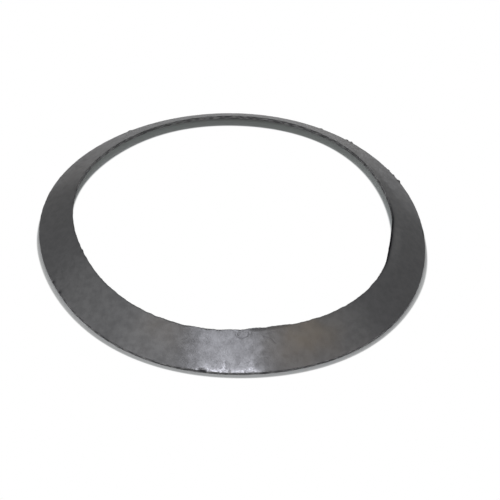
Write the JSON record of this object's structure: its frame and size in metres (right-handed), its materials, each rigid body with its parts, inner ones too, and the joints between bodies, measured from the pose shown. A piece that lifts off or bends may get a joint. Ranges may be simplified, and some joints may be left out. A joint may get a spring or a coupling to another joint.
{
  "type": "diesel particulate filter gasket",
  "caption": "Thin graphite-grey sheet ring formed into a shallow cone, which seals the clamped joint of a diesel particulate filter housing.",
  "frame": {"origin": "centre of the circle that the wide rim rests on", "axes": "+Z along the ring's axis, from the wide rim up to the narrow rim; X and Y in the plane it rests on"},
  "size_m": [0.28, 0.28, 0.0166],
  "materials": {
    "graphite_sheet": "graphite facing on formed sheet, satin, rubbed bright along the wide rim"
  },
  "bodies": {
    "root": {"gasket_ring": "graphite_sheet"}
  },
  "joints": []
}
